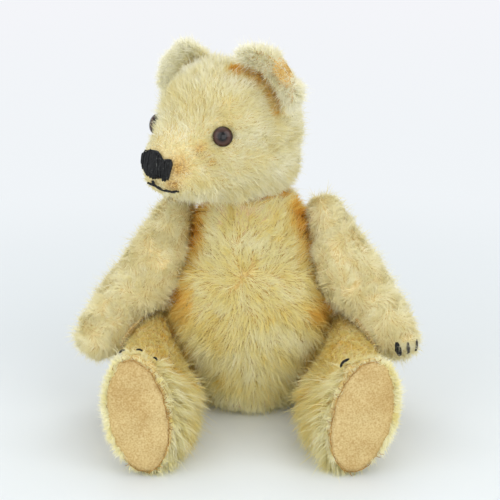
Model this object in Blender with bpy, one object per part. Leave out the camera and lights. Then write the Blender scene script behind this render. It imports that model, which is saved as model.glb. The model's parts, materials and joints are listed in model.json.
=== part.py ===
"""Small disc-jointed mohair teddy bear, sitting, with its head turned to its right.

Metres, +Z up. The bear faces -Y and its own left side is at +X. The origin is the centre
of the flat seat under the body. Every limb and the head turn on a pair of hardboard discs
held by a cotter pin, so each lies on the outer side of its own joint plane.
"""

import math

import bmesh
import bpy
from mathutils import Matrix, Vector
from mathutils.bvhtree import BVHTree

# Driving dimensions
GAP = 0.0003  # clearance between neighbouring pieces
WALL = 0.003  # plush cloth with its matted pile
SKIN_AT_JOINT = 0.0018  # cloth pressed between a pair of discs
PLANE_GAP = 0.0002  # each side of a joint plane

BODY_SIDES = 24
LIMB_SIDES = 16
INNER_SIDES = 14  # hollows and fillings

DISC_RADIUS = {"neck": 0.0075, "shoulder": 0.0062, "hip": 0.0075}
DISC_THICK = 0.0015
WASHER_RADIUS = 0.003
WASHER_THICK = 0.0005
PIN_HOLE = 0.0013
WIRE_RADIUS = 0.00045
PIN_OFFSET = 0.0005  # each leg of the pin from the joint axis
POCKET_DEPTH = 0.0098  # space for disc, washer and pin end in the filling
SHOULDER_FREE = 0.0125  # the narrow shoulder's filling stays clear of its disc by this radius

NECK_HEIGHT = 0.093
HEAD_TURN = math.radians(45)

SHOULDER_HEIGHT = 0.0776
SHOULDER_REACH = 0.0235  # joint plane from the body's centre line at that height
SHOULDER_TILT = math.radians(16)  # the arm discs look up by this much
ARM_SWING = {"left": math.radians(27), "right": math.radians(20)}
ARM_LEAN = {"left": 0.292, "right": 0.335}  # how fast the arm leaves its joint plane

HIP_REACH = 0.0242
HIP_FORWARD = 0.002
HIP_SPLAY = math.radians(5)
HIP_TILT = {"left": math.radians(19), "right": math.radians(13)}
FOOT_ROLL = {"left": math.radians(6), "right": math.radians(4)}
LEG_FLOOR_GAP = 0.0003

EYE_RADIUS = 0.004
EYE_RISE = 0.0022  # dome above its widest ring
EYE_SEAT = 0.0016  # depth of the glass below the cloth
THREAD_RADIUS = 0.00055

SIDE_SIGN = {"left": 1.0, "right": -1.0}

# Sections, in metres. Body: height, half width, half depth, centre in Y.
BODY_ROWS = [
    (0.0000, 0.0150, 0.0140, -0.0010),
    (0.0020, 0.0172, 0.0178, -0.0010),
    (0.0075, 0.0192, 0.0212, -0.0010),
    (0.0145, 0.0219, 0.0240, -0.0010),
    (0.0230, 0.0247, 0.0262, -0.0010),
    (0.0330, 0.0282, 0.0278, -0.0008),
    (0.0450, 0.0303, 0.0280, -0.0004),
    (0.0570, 0.0293, 0.0264, 0.0004),
    (0.0690, 0.0270, 0.0238, 0.0010),
    (0.0790, 0.0245, 0.0210, 0.0012),
    (0.0870, 0.0216, 0.0184, 0.0010),
    (0.0920, 0.0188, 0.0160, 0.0005),
    (0.0945, 0.0160, 0.0140, 0.0000),
]
# Head: place along the face, half width, lowest and highest point.
HEAD_ROWS = [
    (-0.0158, 0.0092, 0.1010, 0.1285),
    (-0.0134, 0.0158, 0.0952, 0.1365),
    (-0.0085, 0.0212, 0.0922, 0.1425),
    (0.0000, 0.0256, 0.0910, 0.1468),
    (0.0110, 0.0284, 0.0906, 0.1492),
    (0.0210, 0.0280, 0.0910, 0.1480),
    (0.0290, 0.0245, 0.0925, 0.1435),
    (0.0350, 0.0195, 0.0940, 0.1365),
    (0.0402, 0.0158, 0.0958, 0.1288),
    (0.0448, 0.0134, 0.0972, 0.1228),
    (0.0490, 0.0116, 0.0988, 0.1192),
    (0.0520, 0.0080, 0.1018, 0.1160),
]
HEAD_BACK = (-0.0166, 0.1150)  # place along the face and height of each pole
HEAD_TIP = (0.0536, 0.1088)
HEAD_POWER = 2.3  # squareness of a section through the head
NAPE_POWER = 3.0  # the same behind NAPE_END, where the head sits square on the neck
NAPE_END = 0.006
# Arm: distance from the joint, half thickness, half width.
ARM_ROWS = [
    (-0.0116, 0.0038, 0.0050),
    (-0.0096, 0.0062, 0.0082),
    (-0.0052, 0.0082, 0.0104),
    (0.0020, 0.0096, 0.0118),
    (0.0110, 0.0104, 0.0122),
    (0.0220, 0.0107, 0.0121),
    (0.0340, 0.0108, 0.0118),
    (0.0440, 0.0107, 0.0114),
    (0.0530, 0.0102, 0.0108),
    (0.0590, 0.0088, 0.0092),
    (0.0630, 0.0058, 0.0060),
]
ARM_START = -0.0126
ARM_END = 0.0645
ARM_OFFSET = 0.0090  # middle of the shoulder from the joint plane
# Leg: distance from the joint, offset from the joint plane, offset up, half thickness, half height.
LEG_ROWS = [
    (-0.0190, 0.0112, 0.0000, 0.0056, 0.0076),
    (-0.0140, 0.0112, 0.0000, 0.0094, 0.0140),
    (-0.0060, 0.0112, 0.0000, 0.0116, 0.0183),
    (0.0040, 0.0112, 0.0000, 0.0122, 0.0197),
    (0.0160, 0.0110, -0.0003, 0.0124, 0.0194),
    (0.0290, 0.0098, -0.0016, 0.0130, 0.0183),
    (0.0430, 0.0080, -0.0024, 0.0140, 0.0176),
    (0.0560, 0.0080, -0.0012, 0.0140, 0.0184),
    (0.0660, 0.0090, 0.0018, 0.0139, 0.0212),
    (0.0730, 0.0098, 0.0042, 0.0138, 0.0236),
    (0.0780, 0.0100, 0.0048, 0.0136, 0.0244),
    (0.0805, 0.0100, 0.0048, 0.0127, 0.0236),
]
LEG_START = -0.0205
SOLE_THICK = 0.0013
SOLE_INSET = 0.0006  # felt edge inside the plush edge
# Ear: height above its seam, half width, half thickness.
EAR_ROWS = [
    (-0.0040, 0.0130, 0.0028),
    (0.0010, 0.0152, 0.0028),
    (0.0060, 0.0156, 0.0027),
    (0.0106, 0.0138, 0.0026),
    (0.0140, 0.0102, 0.0023),
    (0.0162, 0.0056, 0.0016),
]
EAR_TIP = 0.0170
EAR_CUP = 0.0042
EAR_SEAM = {"left": (0.0115, 0.0218, 0.1410), "right": (0.0145, 0.0184, 0.1377)}
EAR_TIP_FORWARD = {"left": 0.0050, "right": 0.0015}  # the left ear flops forward
EAR_FACING = {"left": (1.0, 0.26, -0.22), "right": (1.0, 0.0, 0.0)}  # forward, outward, up
# Nose outline, looking at the face: across towards the bear's left, height.
NOSE_OUTLINE = [
    (-0.0066, 0.1125),
    (-0.0055, 0.1154),
    (-0.0026, 0.1171),
    (0.0014, 0.1172),
    (0.0044, 0.1156),
    (0.0055, 0.1143),
    (0.0084, 0.1148),
    (0.0095, 0.1125),
    (0.0084, 0.1067),
    (0.0066, 0.1059),
    (0.0046, 0.1072),
    (0.0012, 0.1060),
    (-0.0040, 0.1080),
]
NOSE_THICK = 0.0012


def clear_scene():
    for thing in list(bpy.data.objects):
        bpy.data.objects.remove(thing, do_unlink=True)


def material(name, colour, roughness, metallic=0.0):
    made = bpy.data.materials.new(name)
    made.use_nodes = True
    shader = made.node_tree.nodes["Principled BSDF"]
    shader.inputs["Base Color"].default_value = (*colour, 1.0)
    shader.inputs["Roughness"].default_value = roughness
    shader.inputs["Metallic"].default_value = metallic
    return made


def new_object(name, shape, finish, origin=None):
    """An object from a bmesh in world places, with its own origin where it turns."""
    origin = origin or Vector()
    bmesh.ops.recalc_face_normals(shape, faces=shape.faces)
    bmesh.ops.translate(shape, verts=shape.verts, vec=-origin)
    mesh = bpy.data.meshes.new(name)
    shape.to_mesh(mesh)
    shape.free()
    mesh.shade_smooth()
    mesh.set_sharp_from_angle(angle=math.radians(50))
    if finish:
        mesh.materials.append(finish)
    made = bpy.data.objects.new(name, mesh)
    made.location = origin
    bpy.context.collection.objects.link(made)
    return made


def cutter(name, shape):
    made = new_object(name, shape, None)
    made.hide_render = True
    made.display_type = "WIRE"
    return made


def combine(target, tool, operation="DIFFERENCE"):
    step = target.modifiers.new(tool.name, "BOOLEAN")
    step.operation = operation
    step.solver = "EXACT"
    step.object = tool
    return target


def loft(rings, start=None, end=None):
    """One closed skin over rings of points, closed by a pole, or by a flat face, at each end."""
    shape = bmesh.new()
    levels = [[shape.verts.new(point) for point in ring] for ring in rings]
    count = len(rings[0])
    for low, high in zip(levels, levels[1:]):
        for i in range(count):
            j = (i + 1) % count
            shape.faces.new((low[i], low[j], high[j], high[i]))
    for level, pole in ((levels[0], start), (levels[-1], end)):
        if pole is None:
            shape.faces.new(level)
            continue
        tip = shape.verts.new(pole)
        for i in range(count):
            shape.faces.new((level[i], level[(i + 1) % count], tip))
    bmesh.ops.recalc_face_normals(shape, faces=shape.faces)
    return shape


def ellipse(centre, across, up, half_across, half_up, count, power=2.0):
    """One section: an ellipse, or a squarer curve where the power is over 2."""
    points = []
    for i in range(count):
        a = 2 * math.pi * i / count
        reach = [math.copysign(abs(v) ** (2 / power), v) for v in (math.cos(a), math.sin(a))]
        points.append(centre + across * (half_across * reach[0]) + up * (half_up * reach[1]))
    return points


def side_axes(direction):
    """Two directions square to this one and to each other."""
    helper = Vector((0, 0, 1)) if abs(direction.z) < 0.9 else Vector((0, 1, 0))
    across = direction.cross(helper).normalized()
    return across, direction.cross(across).normalized()


def cylinder(centre, direction, low, high, radius, count=14):
    across, up = side_axes(direction)
    return loft(
        [ellipse(centre + direction * at, across, up, radius, radius, count) for at in (low, high)]
    )


def ring_plate(centre, direction, low, high, radius, hole, count):
    """A round plate with a hole, such as a disc or a washer."""
    across, up = side_axes(direction)
    shape = bmesh.new()
    loops = [
        [shape.verts.new(p) for p in ellipse(centre + direction * at, across, up, r, r, count)]
        for at, r in ((low, hole), (low, radius), (high, radius), (high, hole))
    ]
    for first, second in zip(loops, loops[1:] + loops[:1]):
        for i in range(count):
            j = (i + 1) % count
            shape.faces.new((first[i], first[j], second[j], second[i]))
    return shape


def tube(points, radius, count=6):
    """A round wire or thread along a path."""
    rings = []
    across = side_axes((points[1] - points[0]).normalized())[0]
    for i, point in enumerate(points):
        ahead = (points[min(i + 1, len(points) - 1)] - points[max(i - 1, 0)]).normalized()
        across = (across - ahead * across.dot(ahead)).normalized()
        rings.append(ellipse(point, across, ahead.cross(across), radius, radius, count))
    return loft(rings)


def prism(outline, place, forward, near, far):
    """An outline pushed through from near to far along forward."""
    return loft([[place(point) + forward * at for point in outline] for at in (near, far)])


def swollen(shape, by):
    """A copy of a skin moved out along its normals."""
    grown = shape.copy()
    grown.normal_update()
    moves = [(v, v.co + v.normal * by) for v in grown.verts]
    for vert, place in moves:
        vert.co = place
    return grown


# Joints


def plane_cutter(name, centre, direction, low, high, radius, spread=0.0):
    """What lies past a joint plane, as a round plug that may widen away from it."""
    across, up = side_axes(direction)
    rings = [
        ellipse(centre + direction * at, across, up, wide, wide, 32)
        for at, wide in ((low, radius + spread), (high, radius))
    ]
    return cutter(name, loft(rings))


def pin_path(centre, direction):
    """A cotter pin: an eye on the limb's side, two legs through the discs, their ends curled over."""
    across = side_axes(direction)[0]
    seat = SKIN_AT_JOINT + PLANE_GAP + GAP + DISC_THICK + GAP + WASHER_THICK + GAP
    curl = 0.0013
    eye = 0.0012

    def at(side, height):
        return centre + across * side + direction * height

    bottom = -seat - WIRE_RADIUS
    leg = [
        at(PIN_OFFSET + 2 * curl + 0.0006, bottom - 0.0016),
        at(PIN_OFFSET + 2 * curl, bottom - 0.0006),
        at(PIN_OFFSET + 1.4 * curl, bottom - 0.0001),
        at(PIN_OFFSET + 0.6 * curl, bottom),
        at(PIN_OFFSET, bottom + 0.0008),
        at(PIN_OFFSET, seat - 0.0004),
    ]
    loop_centre = seat + WIRE_RADIUS + eye
    for degrees in (-50, 0, 50):
        a = math.radians(degrees)
        leg.append(at(eye * math.cos(a), loop_centre + eye * math.sin(a)))
    other = [point - across * (2 * (point - centre).dot(across)) for point in reversed(leg)]
    return leg + [at(0.0, loop_centre + eye)] + other


def joint_hardware(joint, limb, centre, direction, radius, finishes):
    """Two discs, two washers and the cotter pin of one joint."""
    for owner, outward in (("body", -direction), (limb, direction)):
        low = PLANE_GAP + SKIN_AT_JOINT + GAP
        new_object(
            f"{joint}_disc_{owner}",
            ring_plate(centre, outward, low, low + DISC_THICK, radius, PIN_HOLE, 14),
            finishes["board"],
            centre,
        )
        low += DISC_THICK + GAP
        new_object(
            f"{joint}_washer_{owner}",
            ring_plate(centre, outward, low, low + WASHER_THICK, WASHER_RADIUS, PIN_HOLE, 10),
            finishes["steel"],
            centre,
        )
    pin = tube(pin_path(centre, direction), WIRE_RADIUS, 5)
    new_object(f"{joint}_pin", pin, finishes["steel"], centre)


def joint_cutters(joint, centre, direction, radius, reach, free, spread):
    """What the cloth and the filling leave free round one joint: the plane, the pin and the discs."""
    face = PLANE_GAP + SKIN_AT_JOINT
    pocket = radius + GAP
    return {
        "hole": cutter(f"cut_{joint}_hole", cylinder(centre, direction, -0.006, 0.006, PIN_HOLE, 10)),
        "body_plane": plane_cutter(f"cut_{joint}_body", centre, direction, -PLANE_GAP, 0.02, 0.034),
        "limb_plane": plane_cutter(
            f"cut_{joint}_limb", centre, direction, -0.02, PLANE_GAP, reach, spread
        ),
        "body_pocket": cutter(
            f"cut_{joint}_in", cylinder(centre, -direction, face, POCKET_DEPTH, pocket)
        ),
        "limb_pocket": cutter(
            f"cut_{joint}_out", cylinder(centre, direction, face, POCKET_DEPTH, pocket)
        ),
        "body_free": cutter(
            f"cut_{joint}_in_free", cylinder(centre, -direction, 0, POCKET_DEPTH, pocket)
        ),
        "limb_free": cutter(
            f"cut_{joint}_free", cylinder(centre, direction, 0, POCKET_DEPTH, free or pocket)
        ),
    }


def fit_limb(cover, filling, cuts):
    for key in ("limb_plane", "hole", "limb_pocket"):
        combine(cover, cuts[key])
    combine(filling, cuts["limb_free"])


def inner_rows(rows, inset, start, end, sizes):
    """Section rows that leave room for a wall, the same ones for the cloth and for its filling."""
    if not inset:
        return rows
    room = WALL + 0.0015
    kept = [row for row in rows if start + room < row[0] < end - room]
    kept = [row for row in kept if min(row[i] for i in sizes) > room + 0.0005]
    return kept[:1] + kept[2:-1:2] + kept[-1:]


# Body


def body_skin(inset=0.0, sides=BODY_SIDES):
    rows = inner_rows(BODY_ROWS, inset, BODY_ROWS[0][0], NECK_HEIGHT, (1, 2))
    x_axis, y_axis = Vector((1, 0, 0)), Vector((0, 1, 0))
    rings = [
        ellipse(Vector((0, middle, z)), x_axis, y_axis, wide - inset, deep - inset, sides)
        for z, wide, deep, middle in rows
    ]
    if inset:
        rings[0] = [Vector((p.x, p.y, inset)) for p in rings[0]]
        rings[-1] = [Vector((p.x, p.y, NECK_HEIGHT - inset)) for p in rings[-1]]
    return loft(rings)


def make_body(finishes, joints):
    cover = new_object("body_cover", body_skin(), finishes["body_plush"])
    combine(cover, cutter("cut_body_hollow", body_skin(WALL, INNER_SIDES)))
    filling = new_object("body_stuffing", body_skin(WALL + GAP, INNER_SIDES), finishes["wood_wool"])
    for cuts in joints.values():
        for key in ("body_plane", "hole", "body_pocket"):
            combine(cover, cuts[key])
        combine(filling, cuts["body_free"])


# Head


def head_axes():
    forward = Vector((-math.sin(HEAD_TURN), -math.cos(HEAD_TURN), 0))
    left = Vector((math.cos(HEAD_TURN), -math.sin(HEAD_TURN), 0))
    return forward, left, Vector((0, 0, 1))


def head_place(along, left_by, height):
    forward, left, up = head_axes()
    return forward * along + left * left_by + up * height


def head_skin(inset=0.0, sides=BODY_SIDES):
    forward, left, up = head_axes()
    rings = []
    for along, wide, low, high in inner_rows(HEAD_ROWS, inset, HEAD_BACK[0], HEAD_TIP[0], (1,)):
        tall = (high - low) / 2
        centre = head_place(along, 0, (low + high) / 2)
        power = NAPE_POWER if along < NAPE_END else HEAD_POWER
        rings.append(ellipse(centre, left, up, wide - inset, tall - inset, sides, power))
    back = head_place(HEAD_BACK[0] + inset, 0, HEAD_BACK[1])
    tip = head_place(HEAD_TIP[0] - inset, 0, HEAD_TIP[1])
    return loft(rings, back, tip)


def outer_point(tree, origin, direction, lift):
    """Where a line from inside leaves a skin, lifted off it, with the skin's normal there."""
    place, normal, _, _ = tree.ray_cast(origin + direction * 0.2, -direction)
    return place + normal * lift, normal


def eye_frame(tree, side):
    forward, left, up = head_axes()
    sign = SIDE_SIGN[side]
    centre = head_place(0.015, 0.003 * sign, 0.1190)
    look = (head_place(0.0345, 0.0196 * sign, 0.1225) - centre).normalized()
    place, normal = outer_point(tree, centre, look, 0.0)
    return place, (normal + look).normalized()


def eye_shape(place, look):
    """A glass dome with a flat back, turned about its own line of sight."""
    across, up = side_axes(look)
    back = place - look * EYE_SEAT
    sides, steps = 14, 3
    rings = [ellipse(back, across, up, EYE_RADIUS - 0.0006, EYE_RADIUS - 0.0006, sides)]
    for i in range(steps):
        a = math.radians(90) * i / steps
        radius, rise = EYE_RADIUS * math.cos(a), EYE_RISE * math.sin(a)
        rings.append(ellipse(back + look * (0.0012 + rise), across, up, radius, radius, sides))
    return loft(rings, None, back + look * (0.0012 + EYE_RISE))


def eye_wire(place, look):
    """The bent wire behind the glass, by which the eye is tied inside the head."""
    across = side_axes(look)[0]
    back = place - look * (EYE_SEAT + GAP)
    half = [back + across * 0.0004, back + across * 0.0004 - look * 0.0022]
    for degrees in (20, 65, 90):
        a = math.radians(degrees)
        half.append(back + across * (0.001 * math.cos(a)) - look * (0.0032 + 0.001 * math.sin(a)))
    other = [p - across * (2 * (p - back).dot(across)) for p in reversed(half[:-1])]
    return tube(half + other, 0.0003)


def ear_skin(side):
    """A cupped half-round flap standing across the upper side of the head."""
    sign = SIDE_SIGN[side]
    forward, left, up = head_axes()
    ahead, aside, rise = EAR_FACING[side]
    facing = (forward * ahead + left * (aside * sign) + up * rise).normalized()
    outward = left * (0.66 * sign) + up * 0.75
    outward = (outward - facing * outward.dot(facing)).normalized()
    across = facing.cross(outward).normalized()
    along, left_by, height = EAR_SEAM[side]
    seam = head_place(along, left_by * sign, height)
    flop = EAR_TIP_FORWARD[side]

    def lean(height_up):
        return facing * (flop * max(height_up, 0.0) / EAR_TIP)

    rings = []
    for rise, wide, thick in EAR_ROWS:
        ring = []
        for i in range(16):
            a = 2 * math.pi * i / 16
            reach = math.cos(a)
            cup = EAR_CUP * (reach * reach - 0.5) * wide / EAR_ROWS[1][1]
            offset = across * (wide * reach) + facing * (thick * math.sin(a) + cup)
            ring.append(seam + outward * rise + lean(rise) + offset)
        rings.append(ring)
    tip = seam + outward * EAR_TIP + lean(EAR_TIP)
    return loft(rings, None, tip)


def mouth_paths(tree):
    """The short drop under the nose and the two branches of the mouth, on the muzzle."""
    forward = head_axes()[0]
    drop = [(0.0000, 0.1052), (0.0002, 0.1040), (0.0004, 0.1030)]
    short = [(0.0004, 0.1031), (-0.0016, 0.1032), (-0.0034, 0.1034)]
    long = [(0.0004, 0.1031), (0.0032, 0.1022), (0.0060, 0.1012), (0.0085, 0.1004), (0.0108, 0.1002)]
    paths = []
    for line in (drop, short, long):
        fine = []
        for (a, b), (c, d) in zip(line, line[1:]):
            fine += [(a, b), ((a + c) / 2, (b + d) / 2)]
        fine.append(line[-1])
        path = []
        for left_by, height in fine:
            inside = head_place(0.030, left_by * 0.5, 0.1085)
            aim = (head_place(0.054, left_by, height) - inside).normalized()
            aim = (aim + forward * 0.02).normalized()
            path.append(outer_point(tree, inside, aim, THREAD_RADIUS + 0.00045)[0])
        paths.append(path)
    return paths


def make_head(finishes, cuts):
    neck = Vector((0, 0, NECK_HEIGHT))
    skin = head_skin()
    tree = BVHTree.FromBMesh(skin)
    lifted, proud = swollen(skin, GAP), swollen(skin, NOSE_THICK + GAP)
    forward = head_axes()[0]
    near_skin = cutter("cut_head_near", lifted)

    cover = new_object("head_cover", skin, finishes["head_plush"], neck)
    base = PLANE_GAP + SKIN_AT_JOINT
    hollow = cutter("cut_head_hollow", head_skin(WALL, INNER_SIDES))
    upward = Vector((0, 0, 1))
    combine(hollow, cutter("cut_head_base", cylinder(neck, upward, -0.02, base, 0.034, 32)))
    combine(cover, hollow)
    filling = new_object("head_stuffing", head_skin(WALL + 2 * GAP, INNER_SIDES), finishes["wood_wool"], neck)
    fit_limb(cover, filling, cuts)
    combine(filling, cutter("cut_filling_base", cylinder(neck, upward, -0.02, base + GAP, 0.034, 32)))

    for side in ("left", "right"):
        place, look = eye_frame(tree, side)
        new_object(f"eye_{side}", eye_shape(place, look), finishes["glass"], neck)
        new_object(f"eye_wire_{side}", eye_wire(place, look), finishes["steel"], neck)
        seat = cylinder(place, look, -EYE_SEAT - GAP, 0.01, EYE_RADIUS + GAP, 18)
        combine(cover, cutter(f"cut_eye_seat_{side}", seat))
        channel = cylinder(place, look, -0.0075, 0.001, 0.0018, 10)
        tool = cutter(f"cut_eye_wire_{side}", channel)
        combine(cover, tool)
        combine(filling, tool)
        ear = new_object(f"ear_{side}", ear_skin(side), finishes["head_plush"], neck)
        combine(ear, near_skin)

    def nose_place(point):
        return head_place(0.0, point[0], point[1])

    nose = new_object("nose_stitching", proud, finishes["black_thread"], neck)
    outline = prism(NOSE_OUTLINE, nose_place, forward, 0.040, 0.060)
    combine(nose, cutter("cut_nose_outline", outline), "INTERSECT")
    combine(nose, near_skin)

    drop, short, long = mouth_paths(tree)
    mouth = new_object("mouth_stitching", tube(drop, THREAD_RADIUS, 5), finishes["black_thread"], neck)
    combine(mouth, cutter("add_mouth_short", tube(short, THREAD_RADIUS * 0.97, 5)), "UNION")
    combine(mouth, cutter("add_mouth_long", tube(long, THREAD_RADIUS * 1.03, 5)), "UNION")


# Arms


def arm_axes(side):
    """The joint's outward direction, the arm's way down its plane, and the way across it."""
    sign = SIDE_SIGN[side]
    outward = Vector((sign * math.cos(SHOULDER_TILT), 0, math.sin(SHOULDER_TILT)))
    down = Vector((sign * math.sin(SHOULDER_TILT), 0, -math.cos(SHOULDER_TILT)))
    swing = ARM_SWING[side]
    along = down * math.cos(swing) + Vector((0, -1, 0)) * math.sin(swing)
    return outward, along, outward.cross(along)


def shoulder(side):
    return Vector((SIDE_SIGN[side] * SHOULDER_REACH, 0, SHOULDER_HEIGHT))


def arm_middle(side, distance):
    outward, along, _ = arm_axes(side)
    rise = ARM_LEAN[side] * max(distance - 0.004, 0.0)
    return shoulder(side) + along * distance + outward * (ARM_OFFSET + rise)


def arm_skin(side, inset=0.0, sides=LIMB_SIDES):
    outward, along, wide_axis = arm_axes(side)
    rings = []
    for distance, thick, wide in inner_rows(ARM_ROWS, inset, ARM_START, ARM_END, (1, 2)):
        ahead = arm_middle(side, distance + 0.004) - arm_middle(side, distance - 0.004)
        ahead.normalize()
        thick_axis = (outward - ahead * outward.dot(ahead)).normalized()
        rings.append(
            ellipse(
                arm_middle(side, distance), thick_axis, wide_axis, thick - inset, wide - inset, sides
            )
        )
    start = arm_middle(side, ARM_START + inset)
    end = arm_middle(side, ARM_END - inset)
    return loft(rings, start, end)


def paw_pad(side, skin, name, finish, origin):
    """A felt oval on the inner side of the paw."""
    outward, along, wide_axis = arm_axes(side)
    pad = new_object(name, swollen(skin, GAP + 0.0007), finish, origin)
    centre = arm_middle(side, 0.050)
    outline = ellipse(Vector(), along, wide_axis, 0.0092, 0.0066, 16)
    shape = prism(outline, lambda point: centre + point, -outward, 0.004, 0.020)
    combine(pad, cutter(f"cut_{name}", shape), "INTERSECT")
    combine(pad, cutter(f"cut_{name}_under", swollen(skin, GAP)))


def stitch(name, tree, inside, ends, finish, origin, radius=THREAD_RADIUS):
    """A straight thread laid on a skin between two places."""
    path = []
    for i in range(4):
        target = ends[0].lerp(ends[1], i / 3)
        path.append(outer_point(tree, inside, (target - inside).normalized(), radius + 0.0004)[0])
    new_object(name, tube(path, radius), finish, origin)


def make_arm(side, finishes, cuts):
    origin = shoulder(side)
    skin = arm_skin(side)
    tree = BVHTree.FromBMesh(skin)
    paw_pad(side, skin, f"paw_pad_{side}", finishes["felt"], origin)
    if side == "left":  # the right paw has lost its claw stitches
        outward, along, wide_axis = arm_axes(side)
        inside = arm_middle(side, 0.0535)
        toward = (outward * 0.40 - wide_axis * 0.9).normalized()
        beside = along.cross(toward).normalized()
        for i, turn in enumerate((-1.0, 0.0, 1.0)):
            middle = inside + toward * 0.010 + beside * (0.0050 * turn) + along * 0.0100
            ends = (middle - along * 0.0022, middle + along * 0.0026)
            stitch(f"paw_claw_left_{i + 1}", tree, inside, ends, finishes["black_thread"], origin)
    cover = new_object(f"arm_cover_{side}", skin, finishes["arm_plush"], origin)
    combine(cover, cutter(f"cut_arm_hollow_{side}", arm_skin(side, WALL, INNER_SIDES)))
    inner = arm_skin(side, WALL + GAP, INNER_SIDES)
    filling = new_object(f"arm_stuffing_{side}", inner, finishes["wood_wool"], origin)
    fit_limb(cover, filling, cuts)


# Legs


def leg_axes(side):
    """The joint's outward direction, the leg's way forward, and its way up."""
    sign, tilt = SIDE_SIGN[side], HIP_TILT[side]
    along = Vector((sign * math.sin(HIP_SPLAY), -math.cos(HIP_SPLAY), 0))
    level = Vector((sign * math.cos(HIP_SPLAY), math.sin(HIP_SPLAY), 0))
    outward = level * math.cos(tilt) + Vector((0, 0, -math.sin(tilt)))
    up = level * math.sin(tilt) + Vector((0, 0, math.cos(tilt)))
    return outward, along, up


def hip(side):
    """The hip joint, at the height that brings the thigh just clear of the floor."""
    tilt = HIP_TILT[side]
    _, offset, _, thick, tall = LEG_ROWS[3]
    drop = math.hypot(thick * math.sin(tilt), tall * math.cos(tilt)) + offset * math.sin(tilt)
    return Vector((SIDE_SIGN[side] * HIP_REACH, -HIP_FORWARD, LEG_FLOOR_GAP + drop))


def leg_section(side, row, inset, sides):
    outward, along, up = leg_axes(side)
    distance, offset, rise, thick, tall = row
    roll = FOOT_ROLL[side] * SIDE_SIGN[side] * min(max((distance - 0.04) / 0.03, 0.0), 1.0)
    turn = Matrix.Rotation(roll, 3, along)
    centre = hip(side) + along * distance + outward * offset + up * rise
    return ellipse(centre, turn @ outward, turn @ up, thick - inset, tall - inset, sides)


def leg_skin(side, inset=0.0, sides=LIMB_SIDES, sole_out=0.0):
    outward, along, up = leg_axes(side)
    rows = LEG_ROWS
    if inset:
        rows = inner_rows(LEG_ROWS, inset, LEG_START, LEG_ROWS[-1][0], (3, 4)) + [LEG_ROWS[-1]]
    rings = [leg_section(side, row, inset, sides) for row in rows]
    if sole_out:
        rings[-1] = [point + along * sole_out for point in rings[-1]]
    start = hip(side) + along * (LEG_START + inset) + outward * LEG_ROWS[0][1]
    return loft(rings, start)


def foot_pad(side, finish, origin):
    """Felt over the open end of the foot."""
    along = leg_axes(side)[1]
    last = LEG_ROWS[-1]
    low = leg_section(side, last, SOLE_INSET, 24)
    shape = loft([[p + along * rise for p in low] for rise in (GAP, GAP + SOLE_THICK)])
    middle = hip(side).dot(along) + last[0] + GAP + SOLE_THICK / 2
    rim = [e for e in shape.edges if all(v.co.dot(along) > middle for v in e.verts)]
    bmesh.ops.bevel(shape, geom=rim, offset=0.0005, segments=1, affect="EDGES", profile=0.5, material=-1)
    new_object(f"foot_pad_{side}", shape, finish, origin)


def foot_claws(side, tree, finish, origin):
    """Claw threads over the upper edge of the sole: three on the right foot, one left on the other."""
    outward, along, up = leg_axes(side)
    turns = {"right": (-32, -17, -2), "left": (-42,)}[side]
    last = LEG_ROWS[-1]
    inside = hip(side) + along * 0.060 + outward * last[1] + up * last[2]
    for i, degrees in enumerate(turns):
        a = math.radians(degrees) + FOOT_ROLL[side]
        toward = up * math.cos(a) + outward * math.sin(a)
        reach = math.hypot(last[3] * math.sin(a), last[4] * math.cos(a))
        middle = hip(side) + along * 0.0765 + outward * last[1] + up * last[2] + toward * reach
        ends = (middle - along * 0.0028, middle + along * 0.0012)
        stitch(f"foot_claw_{side}_{i + 1}", tree, inside, ends, finish, origin)


def make_leg(side, finishes, cuts):
    origin = hip(side)
    skin = leg_skin(side)
    foot_claws(side, BVHTree.FromBMesh(skin), finishes["black_thread"], origin)
    cover = new_object(f"leg_cover_{side}", skin, finishes["leg_plush"], origin)
    combine(cover, cutter(f"cut_leg_hollow_{side}", leg_skin(side, WALL, INNER_SIDES, 0.002)))
    inner = leg_skin(side, WALL + 2 * GAP, INNER_SIDES)
    filling = new_object(f"leg_stuffing_{side}", inner, finishes["wood_wool"], origin)
    fit_limb(cover, filling, cuts)
    foot_pad(side, finishes["felt"], origin)


def main():
    clear_scene()
    finishes = {
        "body_plush": material("body_plush", (0.76, 0.65, 0.38), 0.95),
        "head_plush": material("head_plush", (0.74, 0.69, 0.45), 0.95),
        "arm_plush": material("arm_plush", (0.63, 0.58, 0.38), 0.95),
        "leg_plush": material("leg_plush", (0.75, 0.58, 0.25), 0.95),
        "felt": material("felt", (0.74, 0.52, 0.27), 0.9),
        "black_thread": material("black_thread", (0.01, 0.011, 0.013), 0.6),
        "glass": material("glass", (0.12, 0.07, 0.05), 0.05),
        "wood_wool": material("wood_wool", (0.62, 0.46, 0.26), 0.95),
        "board": material("board", (0.30, 0.20, 0.12), 0.8),
        "steel": material("steel", (0.45, 0.43, 0.40), 0.4, 1.0),
    }
    places = {"neck": (Vector((0, 0, NECK_HEIGHT)), Vector((0, 0, 1)), "head", 0.034, None, 0.0)}
    for side in ("left", "right"):
        across = arm_axes(side)[0]
        places[f"shoulder_{side}"] = (shoulder(side), across, "arm", 0.024, SHOULDER_FREE, 0.0)
        places[f"hip_{side}"] = (hip(side), leg_axes(side)[0], "leg", 0.026, None, 0.022)
    cuts = {}
    for joint, (centre, direction, limb, *sizes) in places.items():
        radius = DISC_RADIUS[joint.split("_")[0]]
        cuts[joint] = joint_cutters(joint, centre, direction, radius, *sizes)
        joint_hardware(joint, limb, centre, direction, radius, finishes)
    make_body(finishes, cuts)
    make_head(finishes, cuts["neck"])
    for side in ("left", "right"):
        make_arm(side, finishes, cuts[f"shoulder_{side}"])
        make_leg(side, finishes, cuts[f"hip_{side}"])


main()
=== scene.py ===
import math

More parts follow.
